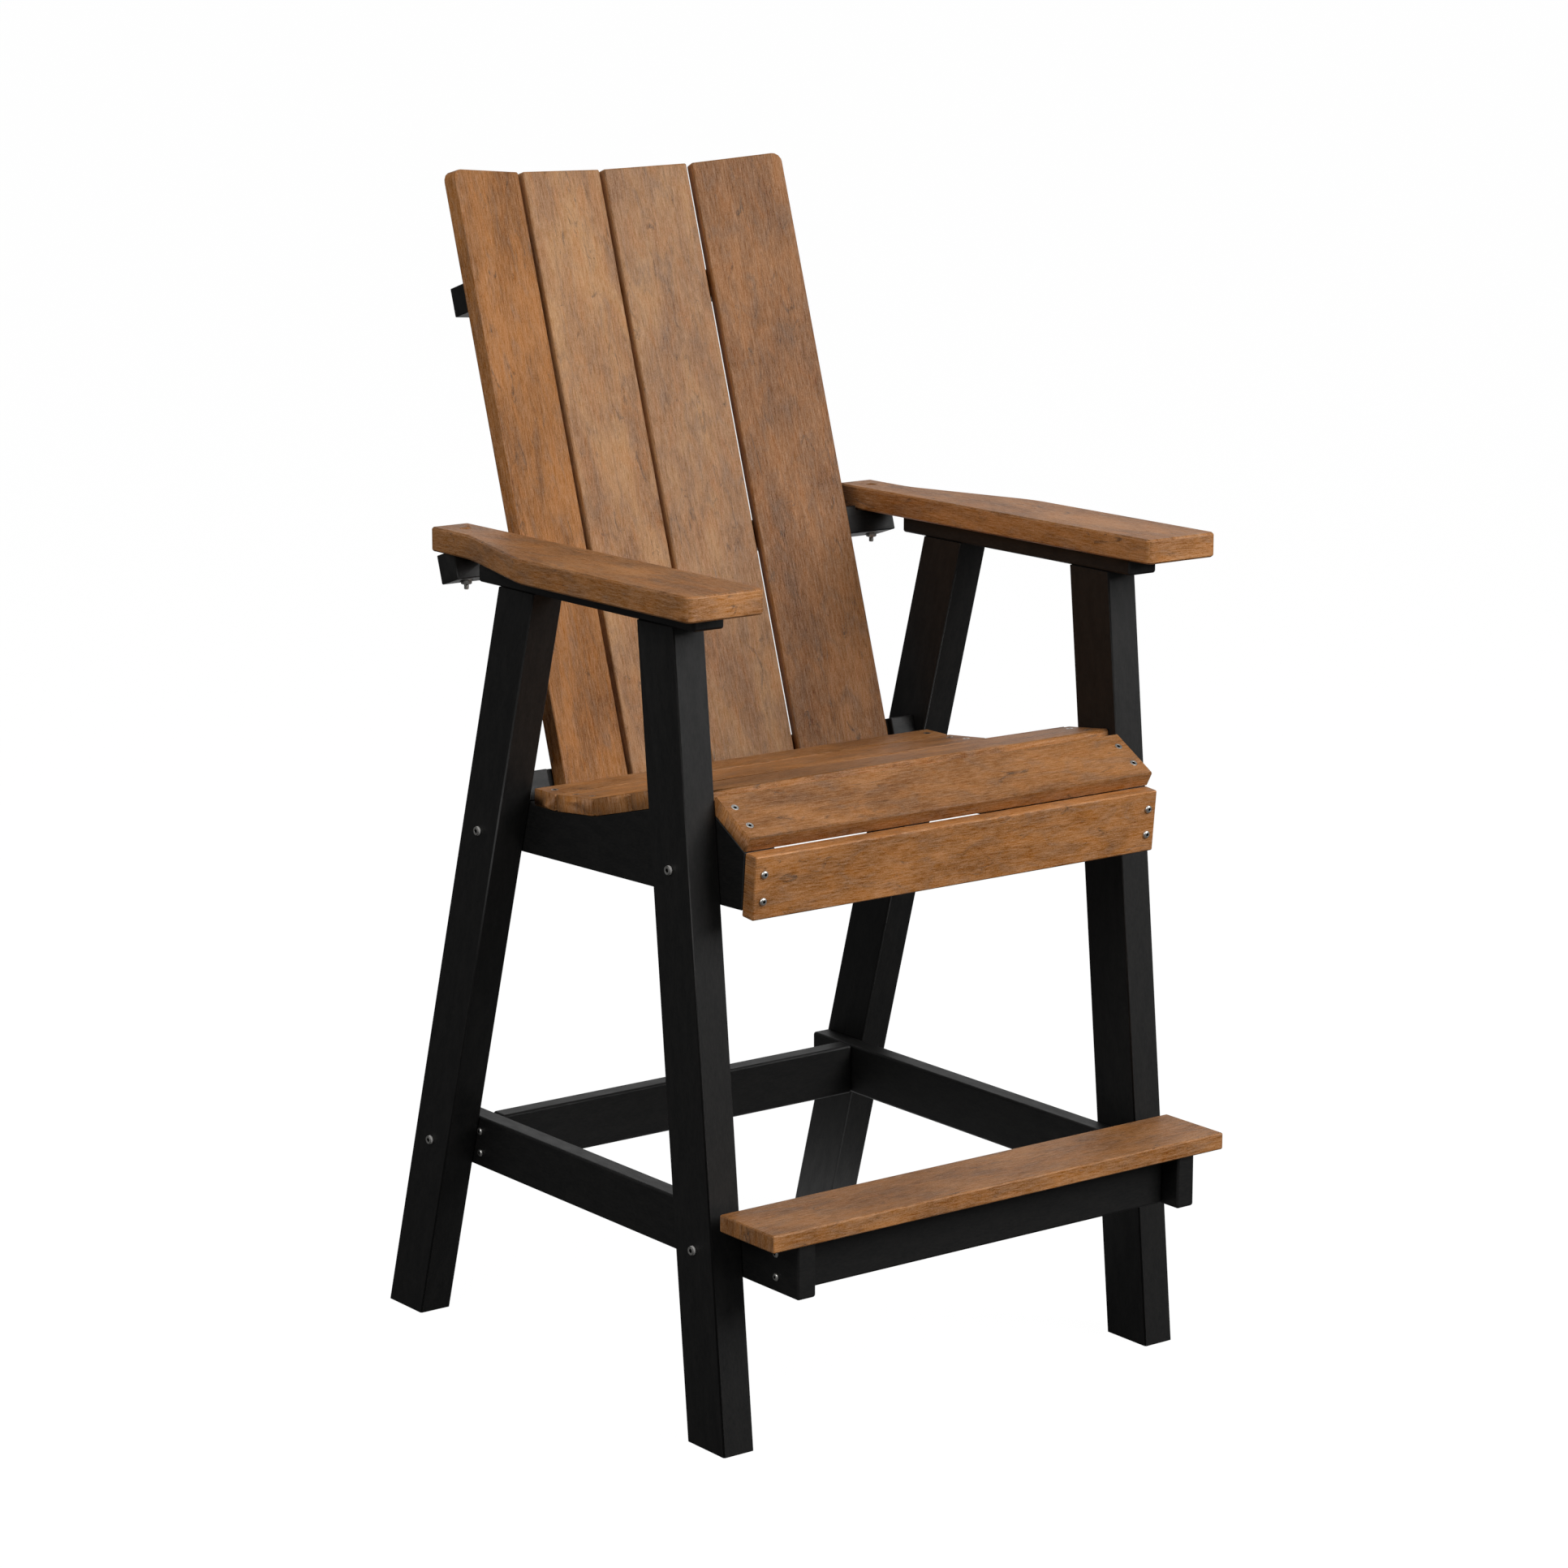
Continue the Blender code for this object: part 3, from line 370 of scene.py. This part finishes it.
def show(name, bm, materials, nodes):
    """Makes the mesh an object that rides on the chair, and stands for its nodes."""
    mesh = bpy.data.meshes.new(name)
    bm.to_mesh(mesh)
    bm.free()
    for material in materials:
        mesh.materials.append(material)
    mesh.shade_smooth()
    piece = bpy.data.objects.new(name, mesh)
    scene.collection.objects.link(piece)
    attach(piece, "root")
    if nodes:
        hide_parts(*nodes)
    return piece


def drilled(piece, tool):
    """Cuts the tool's shapes out of the piece, and keeps what is left as its mesh."""
    mesh = bpy.data.meshes.new("drill")
    tool.to_mesh(mesh)
    tool.free()
    drill = bpy.data.objects.new("drill", mesh)
    scene.collection.objects.link(drill)
    cut = piece.modifiers.new("drill", "BOOLEAN")
    cut.object = drill
    solid = piece.data
    piece.data = bpy.data.meshes.new_from_object(piece.evaluated_get(bpy.context.evaluated_depsgraph_get()))
    piece.modifiers.clear()
    bpy.data.objects.remove(drill)
    bpy.data.meshes.remove(solid)


END_UPRIGHT = (2, 1)        # on a board's end the streaks run through its thickness
END_LEVEL = (1, 2)          # or across it
TINTS = {"back_slat_inner_left": 1.0, "back_slat_inner_right": 0.9}     # boards of a redder batch
TINT_SPREAD = 0.2                                                       # and the most on the others
# Darkening of each board's broad faces: partly batch tone, partly painted shade
TONES_AND_PAINTED_SHADES = {"back_slat_inner_left": 0.79, "back_slat_inner_right": 0.70, "back_slat_outer_left": 0.84,
          "back_slat_outer_right": 0.64, "seat_slat_nose": 0.71, "seat_slat_front": 0.84,
          "seat_slat_rear": 0.84, "arm_left": 0.83, "arm_right": 0.82, "footrest_slat": 0.75}


def board(node, brown, end_way=END_UPRIGHT, along=None, square_to=None, tool=None):
    """One rounded board with its grain, in place of its node: ends sawn square first, holes drilled last."""
    bm = merged(node)
    axes = axes_of(bm)
    if along:
        axes = (Vector(along), axes[2].cross(Vector(along)).normalized(), axes[2])
    if square_to:
        square_ends(bm, axes[0], square_to)
    soften(bm)
    tint = TINTS.get(node, random.uniform(0.0, TINT_SPREAD))
    piece = show(node + "_board", bm, [BROWN if brown else BLACK],
                 [node])
    if tool:
        drilled(piece, tool)
    lay_grain(piece.data, axes, end_way, tint, TONES_AND_PAINTED_SHADES.get(node, 1.0))
    even = piece.modifiers.new("even shading", "WEIGHTED_NORMAL")
    even.weight = 100
    even.keep_sharp = True
    return piece


# %% [markdown]
# Fasteners. Every bolt and screw is a turned shape, a profile carried round an axis. Spinning the profile would
# give it, but a socket has six sides and a bolt's head is knurled, so one circle is extruded ring by ring and
# each ring is set to its radius and height. Where the frame holds a plain stand-in for the fastener, the top of
# its head gives the place and the direction.


# %% Turning helpers
PLAIN, SIX, KNURL = "plain", "six-sided", "knurled"
KNURL_ROOT = 0.95           # of the radius
SIDES = 36


def turned(rings, sides=SIDES, dark=False, hollow=False):
    """A fastener about Z: rings of (radius, height, kind) in mm, from its far end to its socket's floor."""
    bm = bmesh.new()
    bmesh.ops.create_circle(bm, cap_ends=not hollow, radius=1.0, segments=sides)
    verts, edges = bm.verts[:], bm.edges[:]
    for i, (radius, height, kind) in enumerate(rings):
        if i:
            made = bmesh.ops.extrude_edge_only(bm, edges=edges)["geom"]
            verts = [g for g in made if isinstance(g, bmesh.types.BMVert)]
            edges = [g for g in made if isinstance(g, bmesh.types.BMEdge)]
            # Painted highlight: faces between two knurled rings take the pale knurl steel
            painted_highlight = kind == KNURL and rings[i - 1][2] == KNURL
            for face in {face for edge in edges for face in edge.link_faces}:
                face.material_index = 2 if painted_highlight else 0
        for vert in verts:
            around = atan2(vert.co.y, vert.co.x)
            reach = radius * MM
            if kind == SIX:
                reach = reach / cos((around + pi / 6) % (pi / 3) - pi / 6)
            elif kind == KNURL and round(around * sides / (2 * pi)) % 2:
                reach = reach * KNURL_ROOT
            vert.co = (reach * cos(around), reach * sin(around), height * MM)
    if hollow:
        bmesh.ops.remove_doubles(bm, verts=bm.verts, dist=0.001 * MM)
    else:
        floor_of_socket = bmesh.ops.holes_fill(bm, edges=edges, sides=0)["faces"]
        # Painted shade: the socket's walls and floor take the dark socket steel
        if dark:
            walls = {face for edge in edges for face in edge.link_faces}
            for face in walls.union(floor_of_socket):
                face.material_index = 1
    bmesh.ops.recalc_face_normals(bm, faces=bm.faces)
    return bm


def facing(point, way):
    """Where a turned shape stands: its zero at the point, its Z along the way, its socket at any angle."""
    turn = Vector((0, 0, 1)).rotation_difference(Vector(way)).to_matrix().to_4x4()
    return Matrix.Translation(point) @ turn @ Matrix.Rotation(random.uniform(0.0, 2 * pi), 4, "Z")


def head_of(node):
    """The place of a stand-in's head, and its length from there in mm."""
    bm = merged(node)
    top = max((f for f in bm.faces if len(f.verts) > 10), key=lambda f: f.calc_area())
    middle, way = top.calc_center_median(), top.normal.copy()
    length = max((middle - v.co).dot(way) for v in bm.verts)
    bm.free()
    return facing(middle, way), length / MM


def thread(radius, root, low, high, pitch):
    """Rings of a thread between two heights."""
    rings = []
    for i in range(int((high - low) / pitch)):
        rings += [(root, low + i * pitch, PLAIN), (radius, low + (i + 0.5) * pitch, PLAIN)]
    return rings


def steel_piece(name, bm, place, nodes):
    """A fastener set in its place."""
    bmesh.ops.transform(bm, matrix=place, verts=bm.verts)
    looks = 1 + max(face.material_index for face in bm.faces)
    piece = show(name, bm, [STEEL, SOCKET_PAINTED_SHADE, KNURL_PAINTED_HIGHLIGHT][:looks], nodes)
    piece.data.set_sharp_from_angle(angle=radians(35))
    return piece


def steel_group(name, make, places):
    """Many of one fastener, as one piece."""
    group = bmesh.new()
    for place in places:
        one = make()
        bmesh.ops.transform(one, matrix=place, verts=one.verts)
        mesh = bpy.data.meshes.new(name)
        one.to_mesh(mesh)
        one.free()
        group.from_mesh(mesh)
        bpy.data.meshes.remove(mesh)
    return steel_piece(name, group, Matrix.Identity(4), [])


# %% [markdown]
# The profiles. The legs' bolts have knurled cylinder heads that stand proud of the leg. The apron and the cross
# bars have pan head screws, low domes. The seat's screws are countersunk, flush with the slat. Each has a
# six-sided socket. The shanks and threads are inside the boards, but a fastener that is taken out is whole.


# %% Bolts and screws
LEG_BOLT_THREAD = 28.0      # mm of thread at the end
SCREW_THREAD = 18.0


def leg_bolt(length):
    end = -length
    return turned([(2.2, end, PLAIN), *thread(3.0, 2.6, end + 0.6, end + LEG_BOLT_THREAD, 1.0),
                   (3.0, end + LEG_BOLT_THREAD, PLAIN), (3.0, -4.0, PLAIN), (5.05, -4.0, PLAIN),
                   (5.3, -3.75, KNURL), (5.3, -1.1, KNURL), (4.7, 0.0, PLAIN), (2.9, 0.0, PLAIN),
                   (2.3, -0.25, SIX), (2.3, -2.8, SIX)], sides=72, dark=True)


def pan_screw(length):
    end = -length
    return turned([(0.4, end, PLAIN), *thread(2.2, 1.5, end + 2.0, end + SCREW_THREAD, 2.0),
                   (2.2, end + SCREW_THREAD, PLAIN), (2.2, -2.6, PLAIN), (4.6, -2.6, PLAIN), (4.7, -2.1, PLAIN),
                   (4.4, -1.2, PLAIN), (3.7, -0.45, PLAIN), (2.8, -0.1, PLAIN), (2.0, 0.0, PLAIN),
                   (1.6, -0.1, SIX), (1.6, -1.7, SIX)], dark=True)


def sunk_screw(length):
    end = -length
    return turned([(0.4, end, PLAIN), *thread(2.0, 1.4, end + 2.0, end + SCREW_THREAD, 2.0),
                   (2.0, end + SCREW_THREAD, PLAIN), (2.0, -2.8, PLAIN), (4.3, -0.3, PLAIN), (4.4, -0.1, PLAIN),
                   (4.2, 0.0, PLAIN), (2.4, 0.0, PLAIN), (1.95, -0.15, SIX), (1.95, -1.8, SIX)], dark=True)


def arm_bolt(length):
    end = -length
    return turned([(2.4, end, PLAIN), *thread(3.0, 2.6, end + 0.6, end + LEG_BOLT_THREAD, 1.0),
                   (3.0, end + LEG_BOLT_THREAD, PLAIN), (3.0, -3.3, PLAIN), (4.8, -3.3, PLAIN),
                   (5.0, -3.0, PLAIN), (5.0, -0.5, PLAIN), (4.6, 0.0, PLAIN), (2.7, 0.0, PLAIN),
                   (2.0, -0.2, SIX), (2.0, -2.0, SIX)], dark=True)


HANDS = ("left", "right")
ENDS = ("front", "rear")
LEVELS = ("lower", "upper")
random.seed(7)
made = {}
for hand in HANDS:
    for rail in ("stretcher", "seat_rail"):
        for end in ENDS:
            made[f"{rail}_bolt_{end}_{hand}"] = leg_bolt
    for level in LEVELS:
        for part in ("stretcher_rear", "footrest_rail", "apron"):
            made[f"{part}_screw_{level}_{hand}"] = pan_screw
        made[f"nose_screw_{level}_{hand}"] = sunk_screw
    made[f"arm_bolt_{hand}"] = arm_bolt
for node, make in made.items():
    place, length = head_of(node)
    steel_piece(node + "_turned", make(length), place, [node])
print(len(made), "bolts and screws")

# %% Washers and nuts
WASHER = [(3.3, 0.0, PLAIN), (6.3, 0.0, PLAIN), (6.5, -0.2, PLAIN), (6.5, -1.4, PLAIN), (6.3, -1.6, PLAIN),
          (3.3, -1.6, PLAIN), (3.3, 0.0, PLAIN)]
NUT = [(3.3, 0.0, PLAIN), (5.3, 0.0, PLAIN), (5.6, -0.6, SIX), (5.6, -4.4, SIX), (5.3, -5.0, PLAIN),
       (3.3, -5.0, PLAIN), (3.3, 0.0, PLAIN)]
for hand in HANDS:
    for kind, rings in (("washer", WASHER), ("nut", NUT)):
        node = f"arm_{kind}_{hand}"
        low, high = (Vector(corner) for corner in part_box(node))
        top = Vector(((low.x + high.x) / 2, (low.y + high.y) / 2, high.z))
        steel_piece(node + "_turned", turned(rings, hollow=True), Matrix.Translation(top), [node])
print("washers and nuts under the mid rail")


# %% [markdown]
# The screws that the frame doesn't hold. Two pairs fix every seat slat to the rails, and one at each end the
# narrow rear slat, flush in countersunk holes. The back slats show no screw in front, so they are held from
# behind, through the three rails. The arms are held from below, and so is the lower back rail.

# %% Places of the other screws
SEAT_SCREW_X = 274.0 * MM
SEAT_SCREW_SPREAD = 16 * MM     # from the slat's middle
BACK_SCREW_SPREAD = {"inner": 34 * MM, "outer": 15 * MM}
PAN_HEIGHT = 2.6 * MM
ARM_SCREWS = (0.15, 0.5, 0.85)  # along the arm rail between the legs
LOWER_SCREW_Y = 129 * MM        # where the lower back rail's ends lie on the seat rails


def flat(node, way):
    """Middle and direction of the node's largest face among those that look most along the way."""
    bm = merged(node)
    most = max(f.normal.dot(way) for f in bm.faces)
    face = max((f for f in bm.faces if f.normal.dot(way) > most - 0.0005), key=lambda f: f.calc_area())
    middle, normal = face.calc_center_bounds(), face.normal.copy()
    bm.free()
    return middle, normal


def on_flat(point, middle, normal):
    """The point, moved straight onto the flat."""
    return point - normal * (point - middle).dot(normal)


SEAT_SLATS = ["seat_slat_" + n for n in ("nose", "front", "second", "third", "fourth", "rear")]
BACK_SLATS = ["back_slat_" + n for n in ("inner_left", "inner_right", "outer_left", "outer_right")]
BACK_RAILS = ["back_rail_" + n for n in ("upper", "mid", "lower")]

seat_places = {}
for node in SEAT_SLATS[1:]:
    bm = merged(node)
    top = max((f for f in bm.faces if f.normal.z > 0.5), key=lambda f: f.calc_area())
    middle, normal = top.calc_center_bounds(), top.normal.copy()
    bm.free()
    deep = normal.cross(Vector((1, 0, 0)))
    spread = (0.0,) if node == "seat_slat_rear" else (-SEAT_SCREW_SPREAD, SEAT_SCREW_SPREAD)
    seat_places[node] = [facing(middle + Vector((x, 0, 0)) + deep * step, normal)
                         for x in (-SEAT_SCREW_X, SEAT_SCREW_X) for step in spread]

back_places = []
for slat in BACK_SLATS:
    bm = merged(slat)
    along, across, broad = axes_of(bm)
    bm.free()
    rear = broad if broad.y > 0 else -broad
    face, _ = flat(slat, rear)
    spread = BACK_SCREW_SPREAD["inner" if "inner" in slat else "outer"]
    for rail in BACK_RAILS:
        middle, normal = flat(rail, rear)
        level = face + along * (middle - face).dot(along)
        for step in (-spread, spread):
            point = on_flat(level + across * step, middle, normal)
            back_places.append(facing(point + normal * PAN_HEIGHT, normal))

under_places = []
DOWN = Vector((0, 0, -1))
for hand in HANDS:
    start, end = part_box("leg_front_" + hand)[1][1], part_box("leg_rear_" + hand)[0][1]
    middle, normal = flat("arm_rail_" + hand, DOWN)
    for share in ARM_SCREWS:
        point = Vector((middle.x, start + (end - start) * share, middle.z))
        under_places.append(facing(on_flat(point, middle, normal) + normal * PAN_HEIGHT, normal))
    bm = merged("seat_rail_" + hand)
    under = min((f for f in bm.faces if f.calc_area() > 0.005), key=lambda f: f.normal.z)
    middle, normal = under.calc_center_bounds(), under.normal.copy()
    bm.free()
    point = on_flat(Vector((middle.x, LOWER_SCREW_Y, middle.z)), middle, normal)
    under_places.append(facing(point + normal * PAN_HEIGHT, normal))
print(sum(map(len, seat_places.values())), "seat screws,", len(back_places), "back screws,",
      len(under_places), "from below")

# %% Other screws
SEAT_SCREW_L, BACK_SCREW_L, UNDER_SCREW_L = 42.0, 52.0, 34.0
steel_group("seat_screws", lambda: sunk_screw(SEAT_SCREW_L), [p for row in seat_places.values() for p in row])
steel_group("back_screws", lambda: pan_screw(BACK_SCREW_L), back_places)
steel_group("under_screws", lambda: pan_screw(UNDER_SCREW_L), under_places)

# %% [markdown]
# Now the boards. The legs and the seat slats are sawn to length after the extruder has rounded their long edges,
# so their ends are cut square and stay crisp. The seat slats are drilled for their screws, with a countersunk
# tool cut out of each one.


# %% Square ends
END_CUT = 2.5 * MM          # just inside the cut edges of a board's two ends
ALONG_X, UPRIGHT = Vector((1, 0, 0)), Vector((0, 0, 1))


def square_ends(bm, along, square_to):
    """Takes the board's ends off inside their cut edges, and carries its section on to its full length."""
    levels = [v.co.dot(square_to) for v in bm.verts]
    for level, way in ((max(levels), 1), (min(levels), -1)):
        cut = bmesh.ops.bisect_plane(bm, geom=bm.verts[:] + bm.edges[:] + bm.faces[:], clear_outer=True,
                                     plane_co=square_to * (level - way * END_CUT), plane_no=square_to * way)
        rim = [g for g in cut["geom_cut"] if isinstance(g, bmesh.types.BMEdge)]
        made = bmesh.ops.extrude_edge_only(bm, edges=rim)["geom"]
        bmesh.ops.translate(bm, vec=along * (way * END_CUT / along.dot(square_to)),
                            verts=[g for g in made if isinstance(g, bmesh.types.BMVert)])
        bmesh.ops.holes_fill(bm, edges=[g for g in made if isinstance(g, bmesh.types.BMEdge)], sides=0)
    bmesh.ops.recalc_face_normals(bm, faces=bm.faces)
    bmesh.ops.dissolve_limit(bm, angle_limit=radians(0.5), verts=bm.verts, edges=bm.edges)


# %% Brown boards
DRILL = [(2.3, -30.0, PLAIN), (2.3, -2.9, PLAIN), (4.7, 0.0, PLAIN), (4.7, 3.0, PLAIN)]


def countersinks(places):
    """The drill's shape at each place."""
    tool = bmesh.new()
    for place in places:
        one = turned(DRILL)
        bmesh.ops.transform(one, matrix=place, verts=one.verts)
        mesh = bpy.data.meshes.new("countersink")
        one.to_mesh(mesh)
        one.free()
        tool.from_mesh(mesh)
        bpy.data.meshes.remove(mesh)
    return tool


boards = {}
for node in SEAT_SLATS + BACK_SLATS + ["apron", "footrest_slat"]:
    tool = countersinks(seat_places[node]) if node in seat_places else None
    boards[node] = board(node, True, square_to=ALONG_X if node in SEAT_SLATS else None, tool=tool)
for hand in HANDS:
    boards["arm_" + hand] = board("arm_" + hand, True, END_LEVEL)
print(len(boards), "brown boards")

# %% Black boards
for hand in HANDS:
    for node in ("leg_front_", "leg_rear_"):
        boards[node + hand] = board(node + hand, False, square_to=UPRIGHT)
    for node in ("stretcher_", "seat_rail_", "arm_rail_"):
        boards[node + hand] = board(node + hand, False)
for node in ("stretcher_rear", "footrest_rail"):
    boards[node] = board(node, False)
for node in BACK_RAILS:
    boards[node] = board(node, False, along=(1, 0, 0))
print(len(boards), "boards in all")
